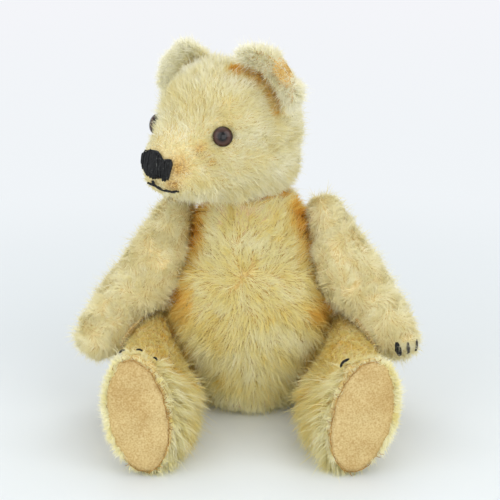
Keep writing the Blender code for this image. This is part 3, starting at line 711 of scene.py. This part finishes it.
def makeArm(side):
    part = "arm_" + side
    look = {
        "backing": ((222, 206, 158), (192, 168, 112)),
        "voxel": 0.0013, "rounds": 7, "inset": 0.0015, "pile": 0.0046,
        "fullness": {"left": 0.0052, "right": 0.0042}[side],
        "spotAt": {"left": (0.0543, -0.0319, 0.0318), "right": (-0.070, -0.0278, 0.0399)}[side],
        "spotReach": 0.004,
        "cream": 0.73, "goldAndShadeBesideParts": 0.42, "spotBrown": 0.35, "leastTone": 0.16,
        "strands": {
            "count": 33000, "lift": 0.28, "stray": 0.4, "follow": 0.35, "bend": 0.3, "curl": 0.3,
            "clump": 0.35, "tuft": 10, "width": 0.00021, "tuftTone": 0.06, "wild": 0.08,
        },
    }
    shoulder, outward = jointOf("shoulder_" + side)
    outward = outward * np.sign(outward[0] * sides[side])
    low, high = (np.array(c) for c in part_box("paw_pad_" + side))
    toPaw = (low + high) / 2 - shoulder
    toPaw -= outward * (toPaw @ outward)
    toPaw /= np.linalg.norm(toPaw)

    def depth(points, normals):
        # the cloth is fuller on the inner side, where it rests against the body
        along = (points - shoulder) @ toPaw
        full = smoothStep(along, 0.004, 0.024) * (1 - smoothStep(along, 0.031, 0.043))
        inner = smoothStep(dots(normals, -outward[None]), -0.1, 0.8)
        swell = (look["fullness"] + look["inset"]) * full * inner
        return look["inset"] + 0.0004 * waves(points, 0.02, 31) - swell

    form = skinAndForm(part, depth, look)

    def comb(points, normals):
        # matted: the way wanders all round
        turn = waves(points, 0.016, 32) * 2.4 + waves(points, 0.007, 33) * 1.2
        down = np.tile(np.array([0.3 * sides[side], -0.3, -0.9]), (len(points), 1))
        down = unit(down - normals * dots(down, normals)[:, None])
        sideways = np.cross(normals, down)
        return down * np.cos(turn)[:, None] + sideways * np.sin(turn)[:, None] + down * 0.35

    def length(points, normals):
        gap = gapTo(points, neighbours[part])
        value = look["pile"] + 0.0006 * waves(points, 0.012, 34)
        return value * (0.85 + 0.15 * smoothStep(gap, 0.001, 0.006))

    def tone(points, normals):
        value = look["cream"] + 0.08 * waves(points, 0.014, 35) + 0.07 * waves(points, 0.005, 36)
        # painted shade: beside the body, head and leg the arm's fur is darker and more golden, partly also
        # the pile's own colour
        value -= look["goldAndShadeBesideParts"] * beside(points, neighbours[part], 0.001, 0.0045)
        value -= look["spotBrown"] * near(points, look["spotAt"], look["spotReach"])
        return np.maximum(value, look["leastTone"])

    ways = (openAir(part), comb, length, tone)
    finish = furMaterial(part + "_fur", greyPile)
    growFur(part + "_fur", form, look["strands"], ways, part, finish)
    print(part)


def soleAxis(side):
    # the way that the foot pad's front faces
    mesh = frame["nodes"]["foot_pad_" + side].data
    widest = sorted(mesh.polygons, key=lambda p: -p.area)[:12]
    facing = sum((p.normal * p.area for p in widest if p.normal.y < -0.5), Vector())
    return np.array(facing.normalized())


def makeLeg(side):
    part = "leg_" + side
    look = {
        "backing": ((224, 206, 150), (200, 170, 108)),
        "voxel": 0.0016, "rounds": 5, "inset": 0.0022, "footFullness": 0.0011, "thighFullness": 0.0062,
        "soleInset": 0.0003, "soleDepth": 0.0009, "pile": 0.0044, "skirtPile": 0.0052,
        "lift": 0.36, "skirtLift": 0.26,
        "cream": 0.62, "footCream": 0.02, "rimCream": 0.20, "goldAndShadeBesideParts": 0.16, "innerGoldAndShade": 0.20,
        "strands": {
            "count": 37000, "stray": 0.35, "follow": 0.5, "bend": 0.4, "curl": 0.2, "clump": 0.5,
            "tuft": 14, "width": 0.00023, "tuftTone": 0.06, "wild": 0.06,
        },
    }
    forward = soleAxis(side)
    low, high = (np.array(c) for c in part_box("foot_pad_" + side))
    soleAt = float((low + high) / 2 @ forward) - look["soleDepth"]
    inward = np.array([-sides[side], 0.0, 0.0])

    def reach(points, start, end):
        # 0 to 1 along the foot, start and end measured back from the sole
        return smoothStep(points @ forward, soleAt - start, soleAt - end)

    def depth(points, normals):
        onSole = smoothStep(dots(normals, forward[None]), 0.6, 0.9) * (points @ forward > soleAt - 0.004)
        thigh = 1 - reach(points, 0.042, 0.022)
        above = smoothStep(normals @ (upward * 0.8 - inward * 0.6), 0.1, 0.9)
        inset = look["inset"] - look["footFullness"] * reach(points, 0.010, 0)
        inset = inset + 0.0004 * waves(points, 0.02, 41) - look["thighFullness"] * thigh * above
        return inset * (1 - onSole) + look["soleInset"] * onSole

    form = skinAndForm(part, depth, look)

    def density(points, normals):
        onSole = (points @ forward > soleAt - 0.0010) & (dots(normals, forward[None]) > 0.5)
        return openAir(part)(points, normals) * ~onSole

    def skirt(points, normals):
        # the long pile low on the inner side of the foot
        facing = smoothStep(normals @ (inward - 0.7 * upward), -0.1, 0.7)
        return facing * reach(points, 0.055, 0.030) * (1 - 0.55 * reach(points, 0.006, 0))

    def comb(points, normals):
        low = skirt(points, normals)[:, None]
        flow = forward * (0.75 - 0.35 * low) - upward * (0.4 + 0.3 * low) + inward * 0.6 * low
        turn = 0.35 * waves(points, 0.018, 42)[:, None]
        return flow + turn * np.cross(normals, flow)

    def lift(points, normals):
        return look["lift"] + look["skirtLift"] * skirt(points, normals)

    def length(points, normals):
        gap = gapTo(points, neighbours[part])
        value = look["pile"] + look["skirtPile"] * skirt(points, normals) + 0.0006 * waves(points, 0.014, 44)
        value *= 1 - 0.25 * reach(points, 0.006, 0)
        return value * (0.6 + 0.4 * smoothStep(gap, 0.001, 0.006))

    def tone(points, normals):
        value = look["cream"] + look["footCream"] * reach(points, 0.05, 0.005)
        value = value + look["rimCream"] * reach(points, 0.013, 0.004)
        value = value + 0.08 * waves(points, 0.018, 45) + 0.05 * waves(points, 0.006, 46)
        # painted shade: beside the body and arm, and on the inner side towards the body, the fur is darker
        # and more golden, partly also the pile's own colour
        value -= look["goldAndShadeBesideParts"] * beside(points, ["body_cover", "arm_cover_" + side], 0.0006, 0.0030)
        return value - look["innerGoldAndShade"] * beside(points, ["body_cover"], 0.0010, 0.0110, 0.014)

    ways = (density, comb, length, tone)
    finish = furMaterial(part + "_fur", goldenPile)
    growFur(part + "_fur", form, {**look["strands"], "lift": lift}, ways, part, finish)
    print(part)


def makeEar(side):
    node = "ear_" + side
    look = {
        "backing": ((238, 208, 140), (216, 166, 88)),
        "voxel": 0.0008, "rounds": 8, "inset": {"left": 0.0013, "right": 0.0019}[side],
        # the worn ears are puffed out in front, the left one folding over its crease
        "puff": {"left": 0.0034, "right": 0.0014}[side],
        "rim": {"left": (0.0138, -0.0345, 0.1478), "right": None}[side],
        "wornReach": 0.0054, "shortReach": 0.0085, "pile": 0.0040,
        "root": faceForward * 0.013 + faceLeft * 0.0205 * sides[side] + upward * 0.1425,
        "cream": 0.93, "wornGold": 0.24, "creaseGoldAndShade": {"left": 0.8, "right": 0.35}[side],
        "leastTone": 0.14,
        "strands": {
            "count": 11000, "lift": 0.6, "stray": 0.6, "follow": 0.35, "bend": 0.3, "curl": 0.4,
            "clump": 0.4, "tuft": 10, "width": 0.00021, "tuftTone": 0.05, "wild": 0.12,
        },
    }
    shape = softForm(outerShell(node, hollow=False), look["voxel"], look["rounds"])
    points, normals, corners = arrays(shape)
    free = smoothStep(gapTo(points, ["head_cover"], 0.012), 0.0020, 0.0080)
    front = smoothStep(dots(normals, faceForward[None]), 0.1, 0.7)
    moved = points - normals * look["inset"]
    moved += (faceForward - upward * 0.15) * (look["puff"] * free * front)[:, None]

    def atRim(points, reach):
        return near(points, look["rim"], reach) if look["rim"] else np.zeros(len(points))

    def worn(points):
        return atRim(points, look["wornReach"])

    moveTo(shape, moved)
    backing = clothMaterial(node + "_backing", *look["backing"])
    skin = newPiece(node + "_skin", asMesh(node, shape), "head", backing)
    markWorn(skin.data, worn(moved))
    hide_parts(node)

    def density(points, normals):
        bare = smoothStep(worn(points), 0.15, 0.6)
        return smoothStep(gapTo(points, ["head_cover"], 0.003), 0.0001, 0.0006) * (1 - 0.985 * bare)

    def comb(points, normals):
        flow = unit(points - look["root"])
        return flow + 0.4 * waves(points, 0.01, 52)[:, None] * np.cross(normals, flow)

    def length(points, normals):
        short = smoothStep(atRim(points, look["shortReach"]), 0.0, 0.4)
        return (look["pile"] + 0.0007 * waves(points, 0.01, 53)) * (1 - 0.75 * short)

    def tone(points, normals):
        inner = smoothStep(dots(normals, faceForward[None]), 0.2, 0.7)
        # painted shade: the ear's front by its seam to the head is darker and more golden, partly also the
        # pile's own colour
        seam = beside(points, ["head_cover"], 0.0010, 0.006, 0.007)
        value = look["cream"] + 0.06 * waves(points, 0.01, 54) - look["wornGold"] * worn(points)
        value -= look["creaseGoldAndShade"] * seam * inner
        return np.maximum(value, look["leastTone"])

    form = (moved, normals, corners)
    ways = (density, comb, length, tone)
    finish = furMaterial(node + "_fur", headPile)
    growFur(node + "_fur", form, look["strands"], ways, "head", finish)
    print(node)


# Eyes, nose, mouth and claws


def eyePlace(side):
    # the glass eye's middle and the way it looks
    mesh = frame["nodes"]["eye_" + side].data
    points = np.array([v.co[:] for v in mesh.vertices])
    middle = points.mean(axis=0)
    look = np.linalg.svd(points - middle)[2][2]
    return middle, look * np.sign(look @ faceForward)


def makeEye(side):
    size = {
        "radius": 0.0040, "dome": 0.62, "proud": 0.0001, "roughness": 0.05, "specular": 0.3,
        # pupil, iris and dark rim, by the share of the eye's width from its middle
        "colours": [(0.0, (5, 4, 5)), (0.19, (7, 6, 7)), (0.24, (50, 34, 28)), (0.34, (74, 52, 44)),
                    (0.42, (60, 36, 28)), (0.48, (24, 16, 12))],
    }
    middle, look = eyePlace(side)
    dome = bmesh.new()
    bmesh.ops.create_uvsphere(dome, u_segments=40, v_segments=24, radius=size["radius"])
    layer = dome.loops.layers.uv.new("disc")
    for face in dome.faces:
        for corner in face.loops:
            place = corner.vert.co / (2 * size["radius"])
            corner[layer].uv = (0.5 + place.x, 0.5 + place.y)
    turn = Vector(look).to_track_quat("Z", "Y").to_matrix().to_4x4()
    place = Matrix.Translation(Vector(middle) + Vector(look) * size["proud"])
    flat = Matrix.Diagonal((1, 1, size["dome"], 1))
    bmesh.ops.transform(dome, matrix=place @ turn @ flat, verts=dome.verts)
    glass, tree, shader = newMaterial("eye_" + side + "_glass", None, size["roughness"], size["specular"])
    spot = addNode(tree, "UVMap", {"uv_map": "disc"})
    away = addNode(tree, "VectorMath", {"operation": "DISTANCE"}, {1: (0.5, 0.5, 0)},
                   {0: spot.outputs[0]})
    colour = ramp(tree, away.outputs["Value"], size["colours"])
    tree.links.new(colour, shader.inputs["Base Color"])
    eye = newPiece("eye_" + side + "_ball", asMesh("eye", dome), "head", glass)
    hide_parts("eye_" + side)
    print("eye", side)


def threadMaterial(name, colour, lighter, glint):
    made, tree, shader = newMaterial(name, None, 0.65, 0.25)
    place = addNode(tree, "TexCoord").outputs["Object"]
    noise = addNode(tree, "TexNoise", None, {"Scale": 1400, "Detail": 4}, {"Vector": place})
    shade = ramp(tree, noise.outputs["Fac"],
                 [(0.4, colour), (0.6, lighter), (0.66, lighter), (0.72, glint)])
    tree.links.new(shade, shader.inputs["Base Color"])
    return made


def addThread(shape, path, radius, count=6):
    # a small ring is extruded from point to point of the path, narrower at both ends
    last = len(path) - 1
    across = (path[1] - path[0]).orthogonal()
    for i, point in enumerate(path):
        ahead = (path[min(i + 1, last)] - path[max(i - 1, 0)]).normalized()
        across = (across - ahead * across.dot(ahead)).normalized()
        size = radius * (0.55 if i in (0, last) else 1.0)
        turn = Matrix((across.cross(ahead), across, ahead)).transposed().to_4x4()
        place = Matrix.Translation(point) @ turn @ Matrix.Scale(size, 4)
        if i == 0:
            ring = bmesh.ops.create_circle(shape, cap_ends=True, segments=count, radius=1, matrix=place)
            walls = list(ring["verts"][0].link_faces)
            rim = list(walls[0].edges)
        else:
            made = bmesh.ops.extrude_edge_only(shape, edges=rim)["geom"]
            moved = [part for part in made if isinstance(part, bmesh.types.BMVert)]
            rim = [part for part in made if isinstance(part, bmesh.types.BMEdge)]
            walls += [part for part in made if isinstance(part, bmesh.types.BMFace)]
            bmesh.ops.transform(shape, matrix=place @ before.inverted(), verts=moved)
        before = place
    walls += bmesh.ops.edgeloop_fill(shape, edges=rim)["faces"]
    bmesh.ops.recalc_face_normals(shape, faces=walls)


def makeNose(black):
    # floss over a soft copy of the solid nose, each row found by rays cast onto it
    size = {
        "voxel": 0.0004, "from": -0.0078, "spacing": 0.00046, "rows": 36, "radius": 0.00034,
        "low": 0.1036, "rise": 0.0004, "steps": 42, "lean": 0.0007, "least": 5, "points": 7,
        "sunk": 0.0006, "proud": (0.0001, 0.0006), "ragged": 0.0006,
    }
    shape = softForm(outerShell("nose_stitching", hollow=False), size["voxel"], 7)
    tree = BVHTree.FromBMesh(shape)
    forward, left, up = Vector(faceForward), Vector(faceLeft), Vector(upward)
    half = size["steps"] / 2
    for i in range(size["rows"]):
        aside = size["from"] + i * size["spacing"]
        lean = rng.uniform(-size["lean"], size["lean"])
        hits = []
        for k in range(size["steps"]):
            height = size["low"] + k * size["rise"]
            start = forward * 0.08 + left * (aside + lean * (k - half) / half) + up * height
            place, normal = tree.ray_cast(start, -forward, 0.06)[:2]
            if place is not None and normal.dot(forward) > 0.0:
                hits.append((place, normal))
        if len(hits) < size["least"]:
            continue
        chosen = hits[:: max(len(hits) // size["points"], 1)]
        proud = rng.uniform(*size["proud"])
        ends = [rng.uniform(0.0, size["ragged"]), rng.uniform(0.0, size["ragged"])]
        path = [p + n * proud for p, n in chosen]
        path.insert(0, chosen[0][0] - chosen[0][1] * size["sunk"] - up * ends[0])
        path.append(chosen[-1][0] - chosen[-1][1] * size["sunk"] + up * ends[1])
        addThread(shape, path, size["radius"])
    nose = newPiece("nose_floss", asMesh("nose", shape), "head", black)
    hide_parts("nose_stitching")
    print("nose")


def makeMouth(black):
    # the solid thread, made uneven as floss is
    size = {"voxel": 0.00028, "proud": 0.00005, "swell": 0.00016, "nub": 0.00008}
    shape = softForm(outerShell("mouth_stitching", hollow=False), size["voxel"], 2)
    points, normals = arrays(shape)[:2]
    swell = size["swell"] * waves(points, 0.0030, 71) + size["nub"] * waves(points, 0.0011, 72)
    moveTo(shape, points + normals * (swell + size["proud"])[:, None])
    mouth = newPiece("mouth_floss", asMesh("mouth", shape), "head", black)
    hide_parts("mouth_stitching")
    print("mouth")


# Foot pads and their seams


def feltMaterial(name):
    made, tree, shader = newMaterial(name, None, 0.95, 0.1)
    place = addNode(tree, "TexCoord").outputs["Object"]
    fine = addNode(tree, "TexNoise", None, {"Scale": 1500, "Detail": 3}, {"Vector": place})
    broad = addNode(tree, "TexNoise", None, {"Scale": 90, "Detail": 3}, {"Vector": place})
    speckle = ramp(tree, fine.outputs["Fac"],
                   [(0.3, (176, 148, 97)), (0.5, (193, 169, 117)), (0.7, (206, 186, 138))])
    stain = ramp(tree, broad.outputs["Fac"], [(0.35, (236, 226, 212)), (0.6, (255, 255, 255))])
    colour = addNode(tree, "Mix", {"data_type": "RGBA", "blend_type": "MULTIPLY"}, {0: 0.8},
                     {6: speckle, 7: stain})
    tree.links.new(colour.outputs[2], shader.inputs["Base Color"])
    bump = addNode(tree, "Bump", None, {"Strength": 0.35, "Distance": 0.0003},
                   {"Height": fine.outputs["Fac"]})
    tree.links.new(bump.outputs[0], shader.inputs["Normal"])
    return made


def footFrame(side):
    # the pad's middle, the way it faces, its ways up and aside, and a tree of its outline
    shape = outerShell("foot_pad_" + side, hollow=False)
    forward = soleAxis(side)
    flat = [f for f in shape.faces if f.normal.length < 0.5 or abs(f.normal.dot(Vector(forward))) > 0.5]
    points = np.array([v.co[:] for v in shape.verts])
    bmesh.ops.delete(shape, geom=flat, context="FACES")
    rise = unit((upward - forward * (upward @ forward))[None])[0]
    aside = np.cross(rise, forward)
    middle = (points.min(axis=0) + points.max(axis=0)) / 2
    front = (points @ forward).max()
    middle = middle + forward * (front - middle @ forward)
    return middle, forward, rise, aside * np.sign(aside[0] * sides[side]), BVHTree.FromBMesh(shape)


def makeFootPad(side, felt, seam):
    node = "foot_pad_" + side
    body = "leg_" + side
    size = {
        "voxel": 0.0009, "uneven": 0.0004, "sag": 0.0004, "sagReach": 0.0025,
        "edge": 0.0005, "outerEdge": 0.0012, "leastEdge": 0.0002, "pile": 0.0031, "cream": 0.82,
        "loops": 60, "thread": 0.00015, "inset": (0.0006, 0.0012), "slant": 0.0008,
        "thickCorner": (1.7, 2.5), "kept": 0.35, "keptAtCorner": 0.9,
        "runPoints": 90, "runThread": 0.00017, "runInset": 0.0007,
        "strands": {
            "count": 2000, "lift": 0.2, "stray": 0.8, "follow": 0.1, "bend": 0.3, "curl": 0.4,
            "clump": 0.15, "tuft": 8, "width": 0.0002, "tuftTone": 0.04, "wild": 0.15,
        },
    }
    middle, forward, rise, outer, outline = footFrame(side)
    shape = softForm(outerShell(node, hollow=False), size["voxel"], 3)
    points, normals, corners = arrays(shape)

    def border(points):
        return np.array([outline.find_nearest(p)[3] for p in points])

    facing = smoothStep(dots(normals, forward[None]), 0.3, 0.8)
    sag = size["sag"] * (1 - smoothStep(border(points), 0.0, size["sagReach"]))
    sag = size["uneven"] * waves(points, 0.013, 61) - sag
    points = points + forward * (sag * facing)[:, None]
    moveTo(shape, points)
    pad = newPiece("foot_felt_" + side, asMesh("felt", shape), body, felt)
    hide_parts(node)

    def density(points, normals):
        # the turned plush edge is widest on the outer side
        out = smoothStep((points - middle) @ outer, 0.0, 0.014)
        width = size["edge"] + size["outerEdge"] * out + 0.0004 * waves(points, 0.006, 62)
        width = np.maximum(width, size["leastEdge"])
        return (dots(normals, forward[None]) > 0.5) * (1 - smoothStep(border(points), width * 0.7, width))

    def comb(points, normals):
        away = unit(points - middle)
        return away + 0.5 * waves(points, 0.008, 63)[:, None] * np.cross(normals, away)

    def length(points, normals):
        return size["pile"] + 0.0005 * waves(points, 0.008, 64)

    def tone(points, normals):
        return size["cream"] + 0.10 * waves(points, 0.008, 65)

    form = (points, normals, corners)
    ways = (density, comb, length, tone)
    finish = bpy.data.materials[body + "_fur"]
    growFur("foot_edge_" + side, form, size["strands"], ways, body, finish)

    # sewing over the edge of the felt, and a running seam on its inner side
    cloth = nodeTree(node)
    front = Vector(forward)

    def onEdge(turn, inset):
        # the felt's front that far inside its edge, found by marching outwards
        way = outer * math.cos(turn) + rise * math.sin(turn)
        steps = np.linspace(0.006, 0.026, 61)
        gaps = [outline.find_nearest(Vector(middle + way * step))[3] for step in steps]
        place = middle + way * (steps[int(np.argmin(gaps))] - inset) + forward * 0.01
        return cloth.ray_cast(Vector(place), -front)[0], Vector(way)

    thread = bmesh.new()
    for i in range(size["loops"]):
        turn = 2 * math.pi * (i + rng.uniform(-0.3, 0.3)) / size["loops"]
        place, way = onEdge(turn, rng.uniform(*size["inset"]))
        # loops show most at the upper inner corner, and the plush edge hides the outer side's
        start, end = size["thickCorner"]
        kept = size["keptAtCorner"] if start < turn < end else size["kept"]
        if place is None or math.cos(turn) > 0.45 or rng.uniform(0, 1) > kept:
            continue
        slant = way.cross(front) * rng.uniform(-size["slant"], size["slant"])
        path = [
            place - front * 0.0002,
            place + way * 0.0005 + front * 0.0003,
            place + way * 0.0011 + slant + front * 0.0002,
            place + way * 0.0017 + slant * 2 - front * 0.0006,
        ]
        addThread(thread, path, size["thread"], 5)
    line = []
    for i in range(size["runPoints"]):
        turn = math.pi * (0.42 + 1.14 * i / (size["runPoints"] - 1))
        place, way = onEdge(turn, size["runInset"])
        if place is not None:
            wander = 0.0002 * waves(np.array([place]), 0.004, 66)[0]
            line.append(place - way * wander + front * 0.00008)
    addThread(thread, line, size["runThread"], 5)
    newPiece("foot_sewing_" + side, asMesh("sewing", thread), body, seam)
    print("foot pad", side)


def makeClaw(node, cover, body, strands, reach, across, finish):
    # floss laid side by side over the cloth, in place of the plain stitch
    size = {"spacing": 0.00042, "thread": 0.00036, "low": 0.0011, "crown": 0.0004, "points": 7, "taper": 0.7}
    points = np.array([v.co[:] for v in frame["nodes"][node].data.vertices])
    middle = points.mean(axis=0)
    along = np.linalg.svd(points - middle)[2][0] if across is None else across
    cloth = nodeTree(cover)
    normal = np.array(cloth.find_nearest(Vector(middle))[1])
    along = unit((along - normal * (along @ normal))[None])[0]
    sideways = np.cross(normal, along)
    shape = bmesh.new()
    for i in range(strands):
        aside = sideways * (i - (strands - 1) / 2) * size["spacing"]
        path = []
        for t in np.linspace(-1, 1, size["points"]) * rng.uniform(0.9, 1.05):
            over = Vector(middle + aside * (1 - size["taper"] * t * t) + along * t * reach)
            place, facing = cloth.find_nearest(over)[:2]
            path.append(place + facing * (size["low"] + size["crown"] * (1 - t * t)))
        addThread(shape, path, size["thread"])
    claw = newPiece(node + "_floss", asMesh("claw", shape), body, finish)
    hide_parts(node)


def makeClaws(black, faded):
    # for each claw mark how many strands are left and half their length
    paw = {3: (5, 0.0033, black), 2: (3, 0.0028, faded), 1: (2, 0.0024, faded)}
    for number, (strands, reach, finish) in paw.items():
        node = "paw_claw_left_%d" % number
        makeClaw(node, "arm_cover_left", "arm_left", strands, reach, None, finish)
    foot = {"foot_claw_left_1": (5, 0.0024), "foot_claw_right_1": (2, 0.0009),
            "foot_claw_right_2": (2, 0.0012), "foot_claw_right_3": (3, 0.0011)}
    for node, (strands, reach) in foot.items():
        side = node.split("_")[2]
        padMiddle, forward = footFrame(side)[:2]
        away = sum(np.array(c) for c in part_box(node)) / 2 - padMiddle
        across = np.cross(forward, away - forward * (away @ forward))
        across /= np.linalg.norm(across)
        makeClaw(node, "leg_cover_" + side, "leg_" + side, strands, reach, across, black)
    print("claws")


def makePads():
    felt = feltMaterial("felt_worn")
    seam = threadMaterial("pad_thread", (132, 98, 46), (182, 142, 76), (214, 182, 118))
    for side in sides:
        frame["nodes"]["paw_pad_" + side].data.materials[0] = felt
        makeFootPad(side, felt, seam)


makeCamera()
makeStage()
black = threadMaterial("black_floss", (7, 8, 9), (34, 35, 36), (112, 113, 108))
makeBody()
makeHead()
for side in sides:
    makeArm(side)
    makeLeg(side)
    makeEar(side)
    makeEye(side)
makeNose(black)
makeMouth(black)
makeClaws(black, threadMaterial("faded_floss", (44, 43, 40), (84, 80, 70), (150, 140, 112)))
makePads()
